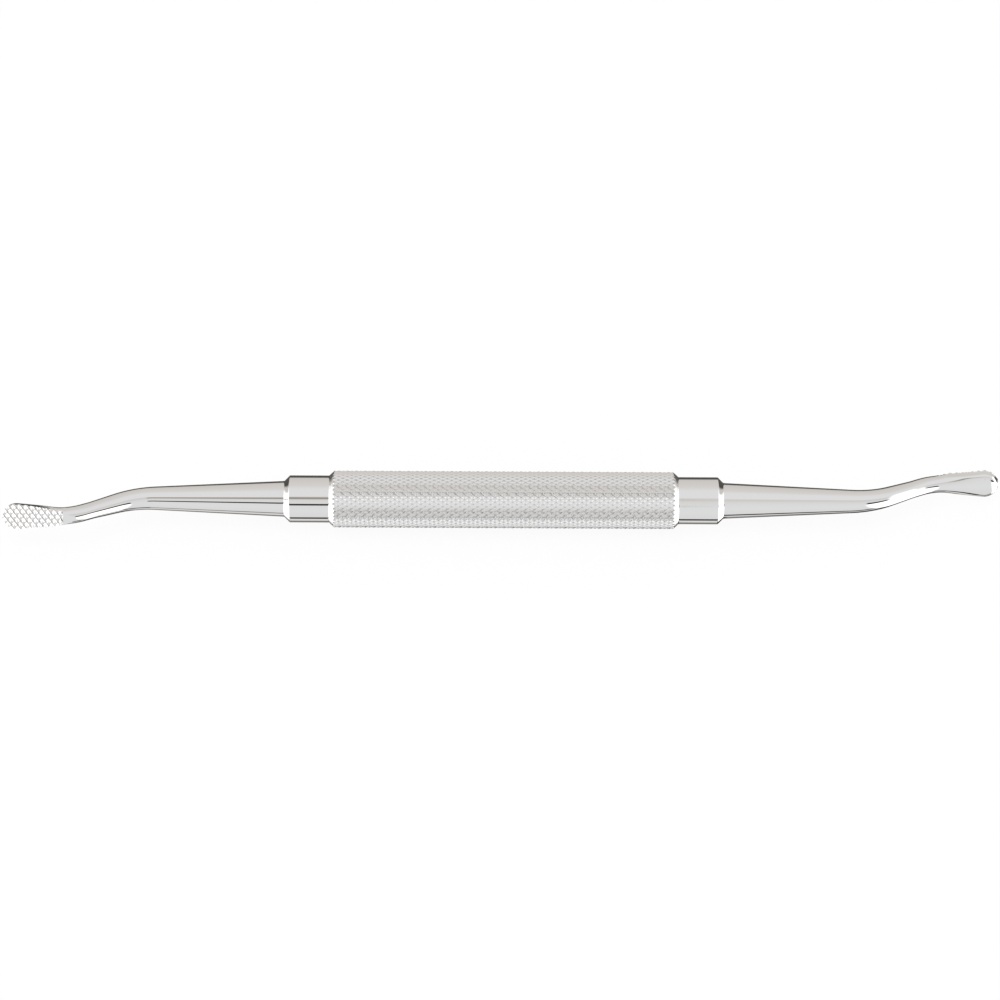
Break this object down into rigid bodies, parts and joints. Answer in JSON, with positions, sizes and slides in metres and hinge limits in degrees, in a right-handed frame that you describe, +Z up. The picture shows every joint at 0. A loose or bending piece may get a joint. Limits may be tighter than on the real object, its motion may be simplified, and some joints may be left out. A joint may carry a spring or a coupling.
{
  "type": "bone file",
  "caption": "Double-ended surgical bone file with a knurled round grip, turned collars, tapered bent shanks and paddle heads with a flat cross-cut face.",
  "frame": {"origin": "on the table, under the middle of the grip, which lies on it", "axes": "+X along the grip's axis, +Z up from the table; the face of the head at -X looks towards -Y and up"},
  "size_m": [0.178, 0.0144, 0.0102],
  "materials": {
    "polished_steel": "polished stainless steel, with a satin sheen in the knurl and the teeth"
  },
  "bodies": {
    "root": {"bone_file": "polished_steel"}
  },
  "joints": []
}
